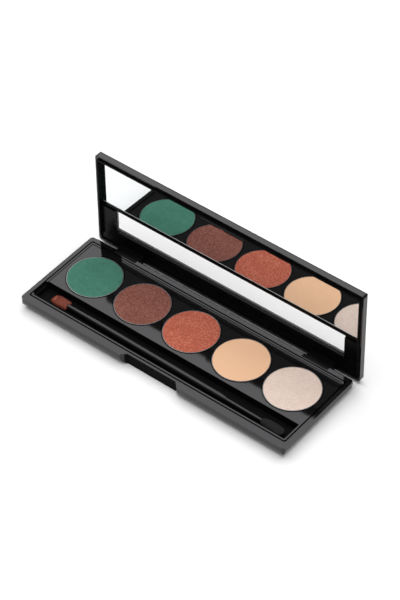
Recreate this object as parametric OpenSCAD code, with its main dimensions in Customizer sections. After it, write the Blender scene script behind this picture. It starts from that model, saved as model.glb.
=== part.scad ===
// Slim hinged five-pan eyeshadow palette with a mirror, a see-through lid window and a double-ended applicator.
// Origin: centre of the flat underside. +X along the long side, +Y towards the hinge, +Z up. Drawn with the lid open.

/* [Case] */
// length of the closed case
case_l = 148.4; // [147:0.2:152]
// depth of the base
base_d = 49.2; // [48.8:0.2:51]
// height of the base rim
base_h = 6.4; // [6.4:0.1:6.8]
// radius of the upright corners
corner_r = 1.5; // [1:0.1:2]
// radius along the bottom edges
bottom_r = 4.0; // [3.8:0.1:4.2]

/* [Pans] */
// outer diameter of a powder pan
pan_d = 26.0; // [25.4:0.1:26.2]
// distance between pan centres
pan_pitch = 28.0; // [27.6:0.1:28.2]
// how far the row of pans sits towards the hinge
pan_y = 5.4; // [5.2:0.1:5.5]
// radial play of a pan in its pocket
pan_play = 0.4; // [0.2:0.05:0.45]

/* [Lid] */
// angle of the open lid from closed
lid_open = 91.5; // [90:0.5:92]
// height of the plane where lid and base meet
mate_z = 7.4; // [7.4:0.1:7.8]
// thickness of the lid from that plane to its back
lid_t = 3.5; // [3.4:0.1:3.8]
// how far the lid overhangs the base at the hinge side
lid_over = 1.7; // [1.5:0.1:1.9]

/* [Hinge] */
// distance of the hinge axis behind the base centre
hinge_y = 25.0; // [24.9:0.1:25.1]
// height of the hinge axis
hinge_z = 3.1; // [3.0:0.1:3.2]
// radius of the knuckles
knuckle_r = 1.9; // [1.8:0.05:1.95]
// radius of the steel pins
pin_r = 0.6; // [0.5:0.05:0.7]

/* [Applicator] */
// diameter of the handle
handle_d = 3.4; // [3.2:0.1:3.5]
// diameter of the thin stem
stem_d = 2.2; // [2:0.1:2.4]
// distance of the applicator in front of the base centre
app_y = -14.1; // [-14.3:0.1:-13.9]

/* [Hidden] */
$fn = 64;
EPS = 0.05;
half_l = case_l / 2;
half_d = base_d / 2;
floor_t = 1.2;
inner_r = 2.8;
wall_s = 1.95;
wall_r = 2.0;
wall_f = 3.45;
play = 0.08;
groove = 0.7;
step_z = 4.4;
deck_z = 6.1;
lip_w = 0.7;
notch_x = 15.2;
notch_d = 2.5;
tray_s = half_l - wall_s - groove;
tray_r = half_d - wall_r - groove;
tray_f = -half_d + wall_f + groove;
pan_r = pan_d / 2;
pocket_r = pan_r + pan_play;
pocket_z = 2.8;
glue_t = 0.1;
pan_wall = 0.35;
pan_z = pocket_z + glue_t;
pan_top = 6.3;
powder_top = 6.25;
trough_f = tray_f + lip_w;
trough_r = -9.2;
trough_x = tray_s - lip_w;
trough_z = 2.0;
skin = 0.8;
lid_top = mate_z + lid_t;
lid_f = -half_d;
lid_r = half_d + lid_over;
shell_s = 1.2;
shell_f = 1.7;
plate_t = 0.9;
plate_z = lid_top - plate_t;
frame_z = mate_z + 0.7;
frame_s = half_l - shell_s - EPS;
frame_f = lid_f + shell_f + EPS;
frame_r = lid_r - shell_s - EPS;
lip_t = 0.6;
lip_z = base_h + 0.1;
bay_s = frame_s - lip_t;
bay_f = frame_f + lip_t;
bar_f = 2.75;
bar_r = 4.85;
win_s = 64.8;
win_r = 16.9;
pane_lap = 1.3;
pane_z = plate_z - 1.0;
mirror_t = 0.85;
tape_t = 0.15;
mirror_z = plate_z - mirror_t - tape_t;
lug_in = 47.6;
lug_out = 61.0;
lug_gap = 0.3;
knuckle_end = 72.7;
pin_in = 44.8;
pin_len = 27.2;
app_z = 3.8;
app_turn = 0.7;
neck_x = -38.5;
tuft_x = -55.0;
app_r = handle_d / 2;
xs_pans = [-2 * pan_pitch, -pan_pitch, 0, pan_pitch, 2 * pan_pitch];

BLACK = [0.05, 0.05, 0.055];
STEEL = [0.75, 0.75, 0.77];

// ---------- shared shapes ----------

// flat rectangle with round corners
module round_rect(x0, y0, x1, y1, r) {
  translate([x0 + r, y0])
    square([x1 - x0 - 2 * r, y1 - y0]);
  translate([x0, y0 + r])
    square([x1 - x0, y1 - y0 - 2 * r]);
  for (x = [x0 + r, x1 - r])
    for (y = [y0 + r, y1 - r])
      translate([x, y])
        circle(r = r);
}

// profile with round lower corners and a square top
module tub_profile(half, z0, z1, r) {
  translate([-half + r, z0])
    square([2 * (half - r), z1 - z0]);
  translate([-half, z0 + r])
    square([2 * half, z1 - z0 - r]);
  for (s = [-1, 1])
    translate([s * (half - r), z0 + r])
      circle(r = r);
}

// block with round lower edges, cut to a plan rectangle
module tub(x0, y0, x1, y1, plan_r, half_x, half_y, z0, z1, r) {
  intersection() {
    translate([0, 0, z0])
      linear_extrude(height = z1 - z0)
        round_rect(x0, y0, x1, y1, plan_r);
    rotate([90, 0, 0])
      linear_extrude(height = 4 * half_y, center = true)
        tub_profile(half_x, z0, z1, r);
    rotate([90, 0, 90])
      linear_extrude(height = 4 * half_x, center = true)
        tub_profile(half_y, z0, z1, r);
  }
}

// upright plate with round corners
module slab(x0, y0, x1, y1, z0, z1, r) {
  translate([0, 0, z0])
    linear_extrude(height = z1 - z0)
      round_rect(x0, y0, x1, y1, r);
}

// plain block given by its corners
module block(x0, y0, z0, x1, y1, z1) {
  translate([x0, y0, z0])
    cube([x1 - x0, y1 - y0, z1 - z0]);
}

// cylinder along X
module rod_x(x0, x1, y, z, r) {
  translate([x0, y, z])
    rotate([0, 90, 0])
      cylinder(h = x1 - x0, r = r);
}

// moves closed-lid geometry to the open rest pose
module lid_pose() {
  translate([0, hinge_y, hinge_z])
    rotate([-lid_open, 0, 0])
      translate([0, -hinge_y, -hinge_z])
        children();
}

// ---------- base ----------

// finger notch in the front wall, with slanted rounded ends
module thumb_notch() {
  depth = half_d - notch_d;
  translate([0, 0, -1])
    linear_extrude(height = base_h + 2)
      union() {
        polygon([[-notch_x - 1.2, -half_d - 1], [notch_x + 1.2, -half_d - 1], [notch_x + 0.9, -half_d],
          [notch_x - 1.1, -depth - 0.6], [notch_x - 1.7, -depth], [-notch_x + 1.7, -depth],
          [-notch_x + 1.1, -depth - 0.6], [-notch_x - 0.9, -half_d]]);
      }
}

// space in the rear wall where one lid lug turns
module lug_slot() {
  x0 = lug_in - lug_gap;
  x1 = lug_out + lug_gap;
  clear = knuckle_r + 0.12;
  rod_x(x0, x1, hinge_y, hinge_z, clear);
  block(x0, hinge_y - clear, hinge_z, x1, hinge_y + 3, base_h + 1);
}

// barrels of the base on one side, joined to the rear wall
module base_knuckles() {
  rod_x(-lug_in + lug_gap, lug_in - lug_gap, hinge_y, hinge_z, knuckle_r);
  for (s = [0, 1])
    mirror([s, 0, 0]) {
      rod_x(lug_out + lug_gap, knuckle_end - 0.6, hinge_y, hinge_z, knuckle_r);
      rod_x(lug_out + lug_gap, knuckle_end, hinge_y, hinge_z, knuckle_r - 0.5);
      translate([knuckle_end - 0.6, hinge_y, hinge_z])
        rotate([0, 90, 0])
          cylinder(h = 0.6, r1 = knuckle_r, r2 = knuckle_r - 0.6);
    }
}

module base_shell() {
  color(BLACK)
    difference() {
      union() {
        tub(-half_l, -half_d, half_l, half_d, corner_r, half_l, half_d, 0, base_h, bottom_r);
        base_knuckles();
      }
      tub(-half_l + wall_s, -half_d + wall_f, half_l - wall_s, half_d - wall_r, 1.0,
        half_l - floor_t, half_d - floor_t, floor_t, base_h + 4, inner_r);
      thumb_notch();
      for (s = [0, 1])
        mirror([s, 0, 0]) {
          lug_slot();
          rod_x(pin_in, knuckle_end + 1, hinge_y, hinge_z, pin_r);
        }
    }
  // catch bump for the latch tongue
  color(BLACK)
    translate([0, -half_d + notch_d + 0.55, 4.6])
      intersection() {
        sphere(r = 0.9);
        block(-1, -1, -1, 1, 0.1, 1);
      }
}

// ---------- tray ----------

module tray_body() {
  tub(-half_l + wall_s + play, -half_d + wall_f + play, half_l - wall_s - play, half_d - wall_r - play, 1.0,
    half_l - floor_t - play, half_d - floor_t - play, floor_t + play, step_z, inner_r - play);
  slab(-tray_s, tray_f, tray_s, tray_r, step_z - 1, deck_z, 0.8);
  // raised lip around the deck
  difference() {
    slab(-tray_s, tray_f, tray_s, tray_r, deck_z - 0.5, base_h, 0.8);
    slab(-trough_x, trough_f, trough_x, tray_r - lip_w, deck_z - 1, base_h + 1, 0.4);
  }
}

// hollow below the deck, leaving the pan cups and the trough
module tray_hollow() {
  difference() {
    tub(-tray_s + 0.4, trough_r + skin, tray_s - 0.4, tray_r - 0.3, 0.4,
      half_l - floor_t - 1, half_d - floor_t - 1, floor_t - 1, deck_z - 0.9, inner_r - 1);
    for (x = xs_pans)
      translate([x, pan_y, pocket_z - skin])
        cylinder(h = 6, r = pocket_r + skin);
    // ribs that carry the cups on the floor
    for (x = xs_pans)
      translate([x, pan_y, floor_t + play])
        difference() {
          cylinder(h = pocket_z - skin - floor_t, r = 6);
          translate([0, 0, -1])
            cylinder(h = 4, r = 5);
        }
  }
}

module pan_tray() {
  color(BLACK)
    difference() {
      tray_body();
      for (x = xs_pans)
        translate([x, pan_y, pocket_z])
          cylinder(h = 6, r = pocket_r);
      slab(-trough_x, trough_f, trough_x, trough_r, trough_z, base_h + 1, 0.6);
      // the lip stops short at the brush end of the trough
      block(-tray_s - 1, trough_f + 0.8, step_z, -trough_x + 1, trough_r - 0.8, base_h + 1);
      tray_hollow();
    }
}

// ---------- pans and powders ----------

module pan_cup(i) {
  color([0.72, 0.73, 0.75])
    translate([xs_pans[i], pan_y, pan_z])
      difference() {
        cylinder(h = pan_top - pan_z, r = pan_r);
        translate([0, 0, pan_wall])
          cylinder(h = 6, r = pan_r - pan_wall);
      }
}

module powder(i, tone) {
  color(tone)
    translate([xs_pans[i], pan_y, pan_z + pan_wall])
      cylinder(h = powder_top - pan_z - pan_wall, r = pan_r - pan_wall);
}

module pan_adhesive() {
  color([0.85, 0.84, 0.78])
    for (x = xs_pans)
      translate([x, pan_y, pocket_z])
        cylinder(h = glue_t, r = 5);
}

// ---------- hinge pins ----------

module hinge_pin(s) {
  color(STEEL)
    mirror([s, 0, 0])
      rod_x(pin_in, pin_in + pin_len, hinge_y, hinge_z, pin_r);
}

// ---------- lid, drawn closed ----------

// outline of the lid seen from the end, with round back edges
module lid_profile(y0, y1, r) {
  translate([y0, mate_z])
    square([y1 - y0, lid_t - r]);
  translate([y0 + r, mate_z])
    square([y1 - y0 - 2 * r, lid_t]);
  for (y = [y0 + r, y1 - r])
    translate([y, lid_top - r])
      circle(r = r);
}

module lid_lug() {
  block(lug_in, lid_r - 4.2, mate_z, lug_out, lid_r - shell_s + 0.3, frame_z + 0.9);
}

module lid_shell() {
  lid_pose()
    color(BLACK)
      difference() {
        intersection() {
          slab(-half_l, lid_f, half_l, lid_r, mate_z, lid_top, corner_r);
          rotate([90, 0, 90])
            linear_extrude(height = case_l + 2, center = true)
              lid_profile(lid_f, lid_r, 1.0);
          rotate([90, 0, 0])
            linear_extrude(height = 3 * base_d, center = true)
              lid_profile(-half_l, half_l, 1.0);
        }
        slab(-half_l + shell_s, lid_f + shell_f, half_l - shell_s, lid_r - shell_s, mate_z - 1, plate_z, 0.5);
        block(-win_s, bar_r, mate_z, win_s, win_r, lid_top + 1);
      }
}

// neck and barrel of one lug, reaching down from the lid to the pin
module lug_arm() {
  difference() {
    union() {
      rod_x(lug_in, lug_out, hinge_y, hinge_z, knuckle_r);
      block(lug_in, hinge_y - knuckle_r, hinge_z, lug_out, hinge_y + 0.05, frame_z + 1);
      block(lug_in, hinge_y - knuckle_r, hinge_z, lug_out, hinge_y + 1.0, mate_z - 0.15);
      rod_x(lug_in, lug_out, hinge_y + 0.9, mate_z - 1.15, 1.0);
    }
    rod_x(lug_in - 1, lug_out + 1, hinge_y, hinge_z, pin_r + 0.05);
  }
}

module latch_tongue() {
  difference() {
    union() {
      block(-12.15, frame_f, 5.6, 12.15, bay_f, frame_z);
      block(-11.55, frame_f, 5.0, 11.55, bay_f, 6);
      for (s = [-1, 1])
        translate([s * 11.55, frame_f, 5.6])
          rotate([-90, 0, 0])
            cylinder(h = lip_t, r = 0.6);
    }
    // recess on the inner face that passes the catch bump
    block(-1.3, bay_f - 0.4, 4, 1.3, bay_f + 1, 5.9);
  }
}

module lid_frame() {
  lid_pose()
    color(BLACK) {
      difference() {
        union() {
          // thin lip along both sides and the front
          difference() {
            slab(-frame_s, frame_f, frame_s, frame_r, lip_z, plate_z, 0.6);
            slab(-bay_s, bay_f, bay_s, frame_r + 5, lip_z - 1, plate_z + 1, 0.3);
            block(-80, hinge_y - 2.6, lip_z - 1, 80, 40, frame_z);
          }
          difference() {
            block(-bay_s - 0.2, bar_f, frame_z, bay_s + 0.2, frame_r, plate_z);
            block(-bay_s, bar_f - 1, frame_z - 1, bay_s, bar_r + 0.2, mirror_z - 0.1);
          }
        }
        // window opening and the recess that holds the pane
        block(-win_s, bar_r, mate_z, win_s, win_r, lid_top);
        block(-win_s - pane_lap, bar_r - pane_lap, pane_z, win_s + pane_lap, win_r + pane_lap, lid_top);
      }
      latch_tongue();
      for (s = [0, 1])
        mirror([s, 0, 0])
          lug_arm();
    }
}

module mirror_glass() {
  lid_pose()
    color([0.8, 0.84, 0.88])
      slab(-bay_s + 0.15, bay_f + 0.15, bay_s - 0.15, bar_f - 0.12, mirror_z, mirror_z + mirror_t, 0.3);
}

module mirror_tape() {
  lid_pose()
    color([0.85, 0.85, 0.8])
      for (y = [-19.5, -2.5])
        block(-66, y - 2, plate_z - tape_t, 66, y + 2, plate_z);
}

module window_pane() {
  lid_pose()
    color([0.85, 0.9, 0.93, 0.35])
      block(-win_s - pane_lap + 0.1, bar_r - pane_lap + 0.1, pane_z + 0.02,
        win_s + pane_lap - 0.1, win_r + pane_lap - 0.1, plate_z);
}

// ---------- applicator ----------

// the loose applicator lies slightly askew in the trough
module lying() {
  translate([-58, app_y, app_z])
    rotate([0, 0, -app_turn])
      translate([58, -app_y, -app_z])
        children();
}

module turned(x, r0, r1, h) {
  translate([x, app_y, app_z])
    rotate([0, 90, 0])
      cylinder(h = h, r1 = r0, r2 = r1);
}

module applicator_handle() {
  color(BLACK)
    lying()
      difference() {
        union() {
          turned(neck_x, app_r, app_r, 33 - neck_x);
          turned(33.0, app_r, stem_d / 2 + 0.15, 3.0);
        }
        turned(30, stem_d / 2, stem_d / 2, 7);
        turned(neck_x - 1, 0.8, 0.8, 5);
      }
}

module applicator_stem() {
  color(BLACK)
    lying() {
      turned(30.1, stem_d / 2, stem_d / 2, 23.9);
      turned(54.0, stem_d / 2, 0.8, 1.6);
      turned(55.6, 0.8, 0.8, 6);
    }
}

module brush_ferrule() {
  color([0.12, 0.12, 0.125])
    lying()
      difference() {
        union() {
          turned(tuft_x, 1.15, app_r - 0.08, neck_x - tuft_x - 0.02);
          turned(neck_x - 0.1, 0.8, 0.8, 3.9);
        }
        // socket for the hair bundle
        turned(tuft_x - 1, 0.7, 0.7, 4);
      }
}

module brush_tuft() {
  color([0.45, 0.2, 0.15])
    lying()
      translate([0, app_y, app_z]) {
        translate([tuft_x - 0.5, 0, 0])
          rotate([0, 90, 0])
            cylinder(h = 3.4, r = 0.7);
        intersection() {
          linear_extrude(height = 6, center = true)
            polygon([[tuft_x - 0.02, -2.3], [tuft_x - 0.02, 2.3], [-57.5, 2.65], [-62.6, 2.7], [-63.6, 2.4],
              [-64.4, 0.8], [-64.5, -1.0], [-64.1, -2.2], [-63.2, -2.7], [-57.5, -2.65]]);
          rotate([90, 0, 0])
            linear_extrude(height = 8, center = true)
              polygon([[tuft_x - 0.02, -0.9], [tuft_x - 0.02, 0.8], [-58, 0.75], [-62.6, 0.35], [-64.5, -0.3],
                [-64.5, -0.8], [-63.0, -1.25], [-58, -1.3]]);
        }
      }
}

module sponge_tip() {
  color([0.08, 0.08, 0.08])
    lying()
      translate([0, app_y, app_z])
        difference() {
          intersection() {
            linear_extrude(height = 6, center = true) {
              polygon([[55.4, -1.5], [58, -2.4], [64.8, -2.6], [64.8, 2.6], [58, 2.4], [55.4, 1.5]]);
              translate([64.8, 0])
                circle(r = 2.6);
            }
            rotate([90, 0, 0])
              linear_extrude(height = 8, center = true)
                polygon([[55.4, -1.3], [57, -1.7], [61, -1.72], [65, -1.5], [67.5, -0.9], [67.5, 0.3],
                  [65, 1.1], [61, 1.7], [57, 1.7], [55.4, 1.3]]);
          }
          translate([50, 0, 0])
            rotate([0, 90, 0])
              cylinder(h = 11.65, r = 0.8);
          translate([50, 0, 0])
            rotate([0, 90, 0])
              cylinder(h = 5.6, r = 1.2);
        }
}

base_shell();
pan_tray();
pan_cup(0);  // pan_green
pan_cup(1);  // pan_brown
pan_cup(2);  // pan_copper
pan_cup(3);  // pan_peach
pan_cup(4);  // pan_pearl
powder(0, [0.07, 0.19, 0.13]);  // powder_green
powder(1, [0.22, 0.08, 0.06]);  // powder_brown
powder(2, [0.5, 0.12, 0.07]);  // powder_copper
powder(3, [0.8, 0.5, 0.32]);  // powder_peach
powder(4, [0.74, 0.58, 0.5]);  // powder_pearl
pan_adhesive();
hinge_pin(1);  // hinge_pin_left
hinge_pin(0);  // hinge_pin_right
lid_shell();
lid_frame();
mirror_glass();  // mirror
mirror_tape();
window_pane();
applicator_handle();
applicator_stem();
brush_ferrule();
brush_tuft();
sponge_tip();
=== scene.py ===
import bpy
import bmesh
import math
import random
from mathutils import Vector, Matrix


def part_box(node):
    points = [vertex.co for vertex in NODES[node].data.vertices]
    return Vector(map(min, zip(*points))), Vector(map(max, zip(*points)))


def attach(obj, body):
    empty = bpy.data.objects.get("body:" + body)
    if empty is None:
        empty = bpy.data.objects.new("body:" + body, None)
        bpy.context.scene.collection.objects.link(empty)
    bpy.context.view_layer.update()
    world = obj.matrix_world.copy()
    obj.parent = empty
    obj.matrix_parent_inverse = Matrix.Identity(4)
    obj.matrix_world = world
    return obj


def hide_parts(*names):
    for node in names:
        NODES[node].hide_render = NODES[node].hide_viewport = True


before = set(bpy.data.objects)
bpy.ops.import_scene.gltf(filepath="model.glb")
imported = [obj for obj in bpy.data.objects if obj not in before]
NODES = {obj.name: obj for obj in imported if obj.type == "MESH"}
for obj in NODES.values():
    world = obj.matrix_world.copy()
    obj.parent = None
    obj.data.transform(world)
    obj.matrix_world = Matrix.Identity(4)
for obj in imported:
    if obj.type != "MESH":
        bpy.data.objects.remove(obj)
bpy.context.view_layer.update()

# where tray and case get painted shade (low specular, near-black colour) over a dull rough texture, in
# metres
TRAY_SHADE_TOP = 0.0056
NOTCH_HALF_LENGTH = 0.0146
NOTCH_FRONT, NOTCH_BACK, NOTCH_TOP = -0.0243, -0.0219, 0.00625
BELOW_FLOOR = -0.001

HAIRS = 900
HAIR_SECTIONS = 7

WORLD_STRENGTH = 0.16
FLOOR_SIZE = 6.0
FLOOR_DROP = 0.00003

CAMERA_AZIMUTH, CAMERA_ELEVATION, CAMERA_ROLL = 40.54, 45.10, -2.15
CAMERA_DISTANCE = 1.09687
CAMERA_AIM = (-0.00938, 0.02296, 0.0062)
CAMERA_LENS, CAMERA_SENSOR = 147.88, 36.0


# ---------------------------------------------------------------- shader help

class Mat:
    """One procedural material on a Principled shader."""

    def __init__(self, name, **sockets):
        self.m = bpy.data.materials.new(name)
        self.m.use_nodes = True
        self.t = self.m.node_tree
        self.b = self.t.nodes["Principled BSDF"]
        self.coord = self.t.nodes.new("ShaderNodeTexCoord")
        for key, value in sockets.items():
            self.b.inputs[key.replace("_", " ")].default_value = value

    def link(self, a, b):
        self.t.links.new(a, b)

    def noise(self, scale, detail=3.0, rough=0.55, stretch=None):
        """Noise on object coordinates, scale in features per metre."""
        vec = self.coord.outputs["Object"]
        if stretch:
            mp = self.t.nodes.new("ShaderNodeMapping")
            mp.inputs["Scale"].default_value = stretch
            self.link(vec, mp.inputs["Vector"])
            vec = mp.outputs["Vector"]
        n = self.t.nodes.new("ShaderNodeTexNoise")
        n.inputs["Scale"].default_value = scale
        n.inputs["Detail"].default_value = detail
        n.inputs["Roughness"].default_value = rough
        self.link(vec, n.inputs["Vector"])
        return n.outputs["Fac"]

    def cells(self, scale, feature="F1", output="Distance"):
        n = self.t.nodes.new("ShaderNodeTexVoronoi")
        n.feature = feature
        n.inputs["Scale"].default_value = scale
        self.link(self.coord.outputs["Object"], n.inputs["Vector"])
        return n.outputs[output]

    def ramp(self, fac, stops):
        n = self.t.nodes.new("ShaderNodeValToRGB")
        el = n.color_ramp.elements
        while len(el) < len(stops):
            el.new(0.5)
        for e, (pos, col) in zip(el, stops):
            e.position = pos
            e.color = (*col, 1.0) if len(col) == 3 else col
        self.link(fac, n.inputs["Fac"])
        return n.outputs["Color"]

    def spread(self, fac, lo, hi, to_lo, to_hi):
        n = self.t.nodes.new("ShaderNodeMapRange")
        limits = {"From Min": lo, "From Max": hi, "To Min": to_lo, "To Max": to_hi}
        for key, value in limits.items():
            n.inputs[key].default_value = value
        self.link(fac, n.inputs["Value"])
        return n.outputs["Result"]

    def math(self, op, a, b):
        n = self.t.nodes.new("ShaderNodeMath")
        n.operation = op
        for i, v in enumerate((a, b)):
            if isinstance(v, (int, float)):
                n.inputs[i].default_value = v
            else:
                self.link(v, n.inputs[i])
        return n.outputs["Value"]

    def bump(self, height, distance, strength=1.0, first=None):
        n = self.t.nodes.new("ShaderNodeBump")
        n.inputs["Strength"].default_value = strength
        n.inputs["Distance"].default_value = distance
        self.link(height, n.inputs["Height"])
        if first is not None:
            self.link(first, n.inputs["Normal"])
        self.link(n.outputs["Normal"], self.b.inputs["Normal"])
        return n.outputs["Normal"]


def paint(node, mat):
    """Gives a CAD node this material in each of its slots."""
    obj = NODES[node]
    for s in obj.material_slots:
        s.material = mat.m


# ---------------------------------------------------------------- materials

def black_plastic(name, tone=0.004, rough=0.07, spec=0.43, marks=1.0):
    """Moulded gloss black with faint waviness and fine handling marks."""
    # painted light: the faint bluish specular tint stands in for the lamps' colour in the reflections
    m = Mat(name, Specular_IOR_Level=spec, Specular_Tint=(0.98, 0.96, 1.0, 1.0))
    wide = m.noise(90.0, 2.0)
    fine = m.noise(2600.0, 3.0)
    dark = (tone, tone, tone * 1.04)
    light = (tone * 1.35, tone * 1.35, tone * 1.45)
    m.link(m.ramp(wide, [(0.3, dark), (0.75, light)]), m.b.inputs["Base Color"])
    waves = m.spread(wide, 0.3, 0.7, -0.01 * marks, 0.02 * marks)
    scuffs = m.spread(fine, 0.4, 0.7, rough, rough + 0.03 * marks)
    m.link(m.math("ADD", waves, scuffs), m.b.inputs["Roughness"])
    m.bump(wide, 0.00003, 0.25)
    return m


case_black = black_plastic("case_gloss_black")
tray_black = black_plastic("tray_gloss_black", rough=0.05)


def painted_shade_where(m, tests, level=0.04):
    """Where every test holds, shade is painted in: a very low specular level and a near-black colour, on a
    dull rough bumpy texture instead of the polish.

    A test is (axis, low, high) in metres; outside low..high the polish stays.
    """
    # painted shade: low specular and near-black colour darken these recesses, with roughness and bump on top
    dull_shade_bsdf = m.t.nodes.new("ShaderNodeBsdfPrincipled")
    dull_shade_bsdf.inputs["Specular IOR Level"].default_value = level
    dull_shade_bsdf.inputs["Roughness"].default_value = 0.7
    tex = m.noise(4200.0, 4.0)
    m.link(m.ramp(tex, [(0.3, (0.002, 0.002, 0.0022)), (0.7, (0.005, 0.005, 0.0054))]),
           dull_shade_bsdf.inputs["Base Color"])
    b = m.t.nodes.new("ShaderNodeBump")
    b.inputs["Strength"].default_value = 0.6
    b.inputs["Distance"].default_value = 0.00008
    m.link(tex, b.inputs["Height"])
    m.link(b.outputs["Normal"], dull_shade_bsdf.inputs["Normal"])
    sep = m.t.nodes.new("ShaderNodeSeparateXYZ")
    m.link(m.coord.outputs["Object"], sep.inputs["Vector"])
    mask = None
    for axis, low, high in tests:
        inside = m.math("MULTIPLY", m.math("GREATER_THAN", sep.outputs[axis], low),
                        m.math("LESS_THAN", sep.outputs[axis], high))
        mask = inside if mask is None else m.math("MULTIPLY", mask, inside)
    mix = m.t.nodes.new("ShaderNodeMixShader")
    m.link(mask, mix.inputs["Fac"])
    m.link(m.b.outputs["BSDF"], mix.inputs[1])
    m.link(dull_shade_bsdf.outputs["BSDF"], mix.inputs[2])
    m.link(mix.outputs["Shader"], m.t.nodes["Material Output"].inputs["Surface"])


# painted shade in the tray's trough, groove floor and pan pocket gaps below this height
painted_shade_where(tray_black, [("Z", BELOW_FLOOR, TRAY_SHADE_TOP)])
# painted shade in the case's thumb notch recess
painted_shade_where(case_black, [("X", -NOTCH_HALF_LENGTH, NOTCH_HALF_LENGTH),
                        ("Y", NOTCH_FRONT, NOTCH_BACK),
                        ("Z", BELOW_FLOOR, NOTCH_TOP)])
frame_black = black_plastic("frame_satin_black", tone=0.003, rough=0.25, spec=0.07)
handle_black = black_plastic("handle_gloss_black", rough=0.2)

metal = Mat("pan_aluminium", Metallic=1.0)
spun = metal.noise(900.0, 4.0, stretch=(1.0, 1.0, 6.0))
metal.link(metal.ramp(spun, [(0.3, (0.11, 0.11, 0.112)), (0.7, (0.2, 0.2, 0.205))]),
           metal.b.inputs["Base Color"])
metal.link(metal.spread(spun, 0.3, 0.7, 0.24, 0.4), metal.b.inputs["Roughness"])
metal.bump(spun, 0.00002, 0.3)

steel = Mat("pin_steel", Metallic=1.0)
drawn = steel.noise(3000.0, 3.0, stretch=(0.05, 1.0, 1.0))
steel.link(steel.ramp(drawn, [(0.3, (0.45, 0.45, 0.47)), (0.7, (0.62, 0.62, 0.64))]),
           steel.b.inputs["Base Color"])
steel.link(steel.spread(drawn, 0.3, 0.7, 0.2, 0.38), steel.b.inputs["Roughness"])

glue = Mat("clear_adhesive", Roughness=0.5)
gl = glue.noise(1500.0)
glue.link(glue.ramp(gl, [(0.3, (0.55, 0.53, 0.45)), (0.7, (0.7, 0.68, 0.6))]),
          glue.b.inputs["Base Color"])
glue.bump(gl, 0.0001, 0.4)


def powder(name, dark, mid, light, grain, depth, rough,
           fleck=None, fleck_amount=0.0, spec=0.3, sheen=0.0):
    """Pressed powder: fine grain, a little mottling, and glints in the shimmer shades."""
    m = Mat(name, Specular_IOR_Level=spec)
    if sheen:
        m.b.inputs["Sheen Weight"].default_value = sheen
        m.b.inputs["Sheen Roughness"].default_value = 0.4
    g = m.noise(grain, 5.0, 0.7)
    broad = m.noise(160.0, 2.0)
    both = m.math("ADD", m.math("MULTIPLY", g, 0.75), m.math("MULTIPLY", broad, 0.25))
    colour = m.ramp(both, [(0.3, dark), (0.5, mid), (0.7, light)])
    if fleck:
        glint = m.cells(grain * 1.9, output="Color")
        sep = m.t.nodes.new("ShaderNodeSeparateColor")
        m.link(glint, sep.inputs["Color"])
        mask = m.spread(sep.outputs["Red"], 1.0 - fleck_amount, 1.0 - fleck_amount * 0.5, 0.0, 1.0)
        mix = m.t.nodes.new("ShaderNodeMix")
        mix.data_type = "RGBA"
        m.link(mask, mix.inputs["Factor"])
        m.link(colour, mix.inputs["A"])
        mix.inputs["B"].default_value = (*fleck, 1.0)
        colour = mix.outputs["Result"]
        m.link(m.spread(mask, 0.0, 1.0, rough, rough * 0.55), m.b.inputs["Roughness"])
    else:
        m.link(m.spread(g, 0.3, 0.7, rough, min(1.0, rough + 0.1)), m.b.inputs["Roughness"])
    m.link(colour, m.b.inputs["Base Color"])
    n1 = m.bump(g, depth, 0.8)
    if fleck:
        m.bump(m.cells(grain * 1.3), depth * 1.4, 0.6, first=n1)
    return m


powders = {
    "powder_green": powder("powder_green", (0.035, 0.125, 0.085), (0.055, 0.18, 0.128), (0.08, 0.225, 0.165),
                           1500.0, 0.0003, 0.85, spec=0.12, sheen=0.1),
    "powder_brown": powder("powder_brown", (0.13, 0.034, 0.024), (0.2, 0.066, 0.047), (0.27, 0.105, 0.08),
                           1500.0, 0.0003, 0.6, fleck=(0.3, 0.13, 0.1), fleck_amount=0.3, spec=0.15),
    "powder_copper": powder("powder_copper", (0.33, 0.07, 0.04), (0.45, 0.1, 0.062), (0.56, 0.16, 0.1),
                            1500.0, 0.0003, 0.6, fleck=(0.62, 0.21, 0.13), fleck_amount=0.3, spec=0.15),
    "powder_peach": powder("powder_peach", (0.77, 0.465, 0.285), (0.8, 0.49, 0.305), (0.82, 0.515, 0.325),
                           2600.0, 0.00008, 0.9, spec=0.12, sheen=0.05),
    "powder_pearl": powder("powder_pearl", (0.66, 0.51, 0.435), (0.73, 0.57, 0.49), (0.79, 0.64, 0.56),
                           2000.0, 0.00016, 0.55, fleck=(0.84, 0.7, 0.62), fleck_amount=0.3, spec=0.2),
}

silver = Mat("mirror_silver", Metallic=1.0)
dust = silver.noise(400.0, 6.0)
silver.link(silver.ramp(dust, [(0.35, (0.86, 0.88, 0.885)), (0.7, (0.89, 0.905, 0.91))]),
            silver.b.inputs["Base Color"])
silver.link(silver.spread(dust, 0.5, 0.8, 0.01, 0.03), silver.b.inputs["Roughness"])

clear = Mat("clear_window", IOR=1.49, Alpha=0.055)
clear.m.surface_render_method = "BLENDED"
haze = clear.noise(500.0, 5.0)
clear.link(clear.ramp(haze, [(0.3, (0.97, 0.98, 0.985)), (0.7, (0.985, 0.99, 0.99))]),
           clear.b.inputs["Base Color"])
clear.link(clear.spread(haze, 0.4, 0.8, 0.0, 0.02), clear.b.inputs["Roughness"])

bristle = Mat("bristle_auburn", Specular_IOR_Level=0.4)
along = bristle.noise(5200.0, 4.0, stretch=(0.12, 1.0, 1.0))
auburn = [(0.25, (0.1, 0.018, 0.01)), (0.55, (0.26, 0.055, 0.03)), (0.8, (0.4, 0.12, 0.07))]
bristle.link(bristle.ramp(along, auburn), bristle.b.inputs["Base Color"])
bristle.link(bristle.spread(along, 0.3, 0.7, 0.4, 0.6), bristle.b.inputs["Roughness"])

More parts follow.
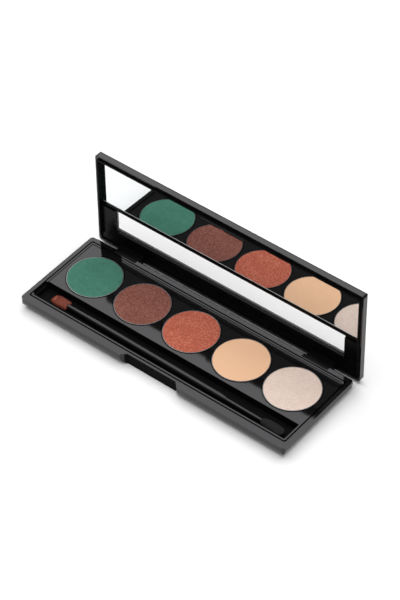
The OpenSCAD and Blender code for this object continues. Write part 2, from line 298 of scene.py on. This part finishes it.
foam = Mat("sponge_black", Specular_IOR_Level=0.25)
pores = foam.cells(5200.0)
soft = foam.noise(3000.0, 4.0)
foam.link(foam.ramp(soft, [(0.3, (0.006, 0.006, 0.006)), (0.7, (0.02, 0.02, 0.021))]),
          foam.b.inputs["Base Color"])
foam.link(foam.spread(soft, 0.3, 0.7, 0.85, 1.0), foam.b.inputs["Roughness"])
foam.bump(pores, 0.00015, 0.7)

ground = Mat("ground_glass_edge", Roughness=0.5)
gg = ground.noise(2500.0, 3.0)
ground.link(ground.ramp(gg, [(0.3, (0.5, 0.53, 0.53)), (0.7, (0.64, 0.66, 0.66))]),
            ground.b.inputs["Base Color"])
ground.bump(gg, 0.00003, 0.4)

for node in ("base_shell", "lid_shell"):
    paint(node, case_black)
paint("pan_tray", tray_black)
paint("lid_frame", frame_black)
for node in ("applicator_handle", "applicator_stem", "brush_ferrule"):
    paint(node, handle_black)
for node in NODES:
    if node.startswith("pan_") and node not in ("pan_tray", "pan_adhesive"):
        paint(node, metal)
for node, mat in powders.items():
    paint(node, mat)
paint("pan_adhesive", glue)
paint("mirror_tape", glue)
paint("hinge_pin_left", steel)
paint("hinge_pin_right", steel)
paint("mirror", silver)
paint("window_pane", clear)


# ---------------------------------------------------------------- soft pieces

def mesh_object(name, bm, mat, body, *stands_for, slot=None):
    me = bpy.data.meshes.new(name)
    bm.to_mesh(me)
    bm.free()
    for p in me.polygons:
        p.use_smooth = True
    obj = bpy.data.objects.new(name, me)
    bpy.context.scene.collection.objects.link(obj)
    me.materials.append(mat.m)
    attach(obj, body)
    if stands_for:
        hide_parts(*stands_for)
    return obj


def make_tuft():
    """Flat brush head: a dense core with separate hairs laid over it, ends slightly uneven."""
    lo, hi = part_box("brush_tuft")
    rnd = random.Random(11)
    x_root, x_tip = -0.05495, lo.x + 0.0001
    cy = (lo.y + hi.y) / 2
    cz = lo.z + 0.00115
    bm = bmesh.new()

    def half_width(t):
        return 0.0022 + 0.0004 * math.sin(min(1.0, t * 1.25) * math.pi / 2)

    def half_thick(t):
        return 0.00082 + 0.00014 * math.sin(t * math.pi * 0.72) - 0.0003 * t * t

    # core
    rings = []
    steps, around = 10, 24
    for i in range(steps + 1):
        t = i / steps
        x = x_root + (x_tip + 0.0009 - x_root) * t
        w, h = half_width(t) * 0.9, half_thick(t) * 0.82
        ring = []
        for k in range(around):
            a = 2 * math.pi * k / around
            c, s = math.cos(a), math.sin(a)
            ring.append(bm.verts.new((x, cy + w * math.copysign(abs(c) ** 0.6, c),
                                      cz + h * math.copysign(abs(s) ** 0.8, s))))
        rings.append(ring)
    for r0, r1 in zip(rings, rings[1:]):
        for k in range(around):
            bm.faces.new((r0[k], r0[(k + 1) % around], r1[(k + 1) % around], r1[k]))
    bm.faces.new(rings[-1])
    bm.faces.new(list(reversed(rings[0])))
    # hairs
    for _ in range(HAIRS):
        u = rnd.uniform(-1, 1)
        if rnd.random() < 0.8:
            v = rnd.choice((-1, 1)) * rnd.uniform(0.55, 1.0) ** 0.5
        else:
            v = rnd.uniform(-1, 1)
        edge = 1.0 - 0.16 * abs(u) ** 3
        end = (0.9 + 0.1 * rnd.random()) * edge - 0.03 * (u + 1) / 2
        r0 = rnd.uniform(0.00005, 0.000075)
        drift = rnd.uniform(-0.12, 0.12)
        last = None
        for i in range(HAIR_SECTIONS):
            t = i / (HAIR_SECTIONS - 1) * end
            x = x_root + (x_tip - x_root) * t
            w, h = half_width(t), half_thick(t) * math.sqrt(max(0.05, 1 - (0.85 * u) ** 4))
            taper = h * (1.0 - 0.45 * max(0.0, t - 0.55) / 0.45)
            y = cy + w * max(-1.0, min(1.0, u + drift * 0.5 * t * t)) * 0.985
            z = cz + v * taper
            r = r0 * (1.0 - 0.8 * (i / (HAIR_SECTIONS - 1)) ** 3)
            tri = [bm.verts.new((x, y + r * math.cos(q), z + r * math.sin(q)))
                   for q in (0.5, 2.6, 4.7)]
            if last:
                for k in range(3):
                    bm.faces.new((last[k], last[(k + 1) % 3], tri[(k + 1) % 3], tri[k]))
            else:
                bm.faces.new(list(reversed(tri)))
            last = tri
        bm.faces.new(last)
    return mesh_object("brush_hair", bm, bristle, "applicator", "brush_tuft", slot="bristle")


def make_sponge():
    """Foam tip: a rounded wedge that swells past the stem and thins to a soft edge."""
    lo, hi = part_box("sponge_tip")
    cy = (lo.y + hi.y) / 2
    cz = (lo.z + hi.z) / 2
    rnd = random.Random(5)
    bm = bmesh.new()
    x0, x1 = lo.x + 0.0001, hi.x - 0.0001
    steps, around = 26, 36
    rings = []
    for i in range(steps + 1):
        t = i / steps
        s = 0.5 - 0.5 * math.cos(math.pi * t)
        x = x0 + (x1 - x0) * s
        # plan half-width and side half-thickness along the tip
        w = (0.0024 * min(1.0, 0.56 + 1.6 * s)
             * math.sqrt(max(0.0, 1 - max(0.0, (s - 0.78) / 0.22) ** 2.2)))
        h = (0.00168 * math.sin(math.pi * min(1.0, 0.3 + 0.55 * s))
             * math.sqrt(max(0.0, 1 - max(0.0, (s - 0.7) / 0.3) ** 2.4)))
        if s < 0.06:
            w *= 0.72 + 0.28 * (s / 0.06) ** 0.5
            h *= 0.72 + 0.28 * (s / 0.06) ** 0.5
        w, h = max(w, 0.00012), max(h, 0.0001)
        ring = []
        for k in range(around):
            a = 2 * math.pi * k / around
            c, q = math.cos(a), math.sin(a)
            j = 1.0 + rnd.uniform(-0.012, 0.012)
            ring.append(bm.verts.new((x, cy + j * w * math.copysign(abs(c) ** 0.85, c),
                                      cz + j * h * math.copysign(abs(q) ** 0.95, q))))
        rings.append(ring)
    for r0, r1 in zip(rings, rings[1:]):
        for k in range(around):
            bm.faces.new((r0[k], r0[(k + 1) % around], r1[(k + 1) % around], r1[k]))
    bm.faces.new(rings[-1])
    bm.faces.new(list(reversed(rings[0])))
    obj = mesh_object("sponge_pad", bm, foam, "applicator", "sponge_tip", slot="sponge")
    sub = obj.modifiers.new("smooth", "SUBSURF")
    sub.levels = 1
    sub.render_levels = 1
    return obj


def make_mirror_edge():
    """Ground lower edge of the mirror glass: a thin pale bevel along the bar."""
    lo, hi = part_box("mirror")
    # the mirror leans back with the lid, so its lower front edge is found from the mesh
    pts = [v.co for v in NODES["mirror"].data.vertices]
    low = min(p.z for p in pts)
    front_low = min((p for p in pts if p.z < low + 0.0004), key=lambda p: p.y)
    front_high = min((p for p in pts if p.z > hi.z - 0.0004), key=lambda p: p.y)
    along = front_high - front_low
    along.x = 0.0
    along.normalize()
    out = Vector((0.0, -along.z, along.y))
    x0, x1 = lo.x + 0.0003, hi.x - 0.0003
    base = Vector((0.0, front_low.y, front_low.z))
    profile = [base - along * 0.00003,
               base - along * 0.00003 + out * 0.00006,
               base + along * 0.00012 + out * 0.00009,
               base + along * 0.00022 + out * 0.00003,
               base + along * 0.00022]
    bm = bmesh.new()
    rows = []
    n = 24
    for i in range(n + 1):
        x = x0 + (x1 - x0) * i / n
        rows.append([bm.verts.new((x, q.y, q.z)) for q in profile])
    for r0, r1 in zip(rows, rows[1:]):
        for k in range(len(profile)):
            a = (k + 1) % len(profile)
            bm.faces.new((r0[k], r0[a], r1[a], r1[k]))
    bm.faces.new(list(reversed(rows[0])))
    bm.faces.new(rows[-1])
    bmesh.ops.recalc_face_normals(bm, faces=bm.faces)
    return mesh_object("mirror_ground_edge", bm, ground, "lid", slot="mirror_glass")


make_tuft()
make_sponge()
make_mirror_edge()


# ---------------------------------------------------------------- stage, light, camera

floor_mat = Mat("studio_floor", Roughness=0.9, Specular_IOR_Level=0.1)
fl = floor_mat.noise(6.0, 2.0)
floor_mat.link(floor_mat.ramp(fl, [(0.3, (0.93, 0.93, 0.93)), (0.7, (0.95, 0.95, 0.95))]),
               floor_mat.b.inputs["Base Color"])
bm = bmesh.new()
bmesh.ops.create_grid(bm, x_segments=2, y_segments=2, size=FLOOR_SIZE)
me = bpy.data.meshes.new("studio_floor")
bm.to_mesh(me)
bm.free()
floor = bpy.data.objects.new("studio_floor", me)
bpy.context.scene.collection.objects.link(floor)
floor.location = (0.0, 0.0, -FLOOR_DROP)
me.materials.append(floor_mat.m)

world = bpy.data.worlds.new("studio_world")
bpy.context.scene.world = world
world.use_nodes = True
back = world.node_tree.nodes["Background"]
back.inputs["Color"].default_value = (1.0, 1.0, 1.0, 1.0)
back.inputs["Strength"].default_value = WORLD_STRENGTH


def softbox(name, at, target, size_x, size_y, radiance):
    """Rectangular area light aimed at a point, strength given as radiance."""
    data = bpy.data.lights.new(name, "AREA")
    data.shape = "RECTANGLE"
    data.size = size_x
    data.size_y = size_y
    data.energy = radiance * size_x * size_y * math.pi
    obj = bpy.data.objects.new(name, data)
    bpy.context.scene.collection.objects.link(obj)
    d = (Vector(at) - Vector(target)).normalized()
    obj.rotation_euler = d.to_track_quat("Z", "Y").to_euler()
    obj.location = at
    return obj


softbox("top_box", (-0.55, 0.6, 1.5), (-0.55, 0.6, 0), 2.6, 2.6, 2.2)
softbox("right_front_box", (1.5, -0.9, 1.3), (0, 0, 0), 1.2, 1.2, 2.6)

scene = bpy.context.scene
scene.view_settings.view_transform = "Standard"
scene.view_settings.look = "None"

cam_data = bpy.data.cameras.new("camera")
camera = bpy.data.objects.new("camera", cam_data)
scene.collection.objects.link(camera)
scene.camera = camera
az, el = math.radians(CAMERA_AZIMUTH), math.radians(CAMERA_ELEVATION)
roll = math.radians(CAMERA_ROLL)
back_dir = Vector((math.sin(az) * math.cos(el), -math.cos(az) * math.cos(el), math.sin(el)))
right = (-back_dir).cross(Vector((0, 0, 1))).normalized()
up = right.cross(-back_dir)
right2 = right * math.cos(roll) + up * math.sin(roll)
up2 = -right * math.sin(roll) + up * math.cos(roll)
rot = Matrix((right2, up2, back_dir)).transposed()
eye = Vector(CAMERA_AIM) + back_dir * CAMERA_DISTANCE
camera.matrix_world = Matrix.Translation(eye) @ rot.to_4x4()
cam_data.sensor_fit = "AUTO"
cam_data.sensor_width = CAMERA_SENSOR
cam_data.lens = CAMERA_LENS
cam_data.clip_start = 0.05
cam_data.clip_end = 20.0
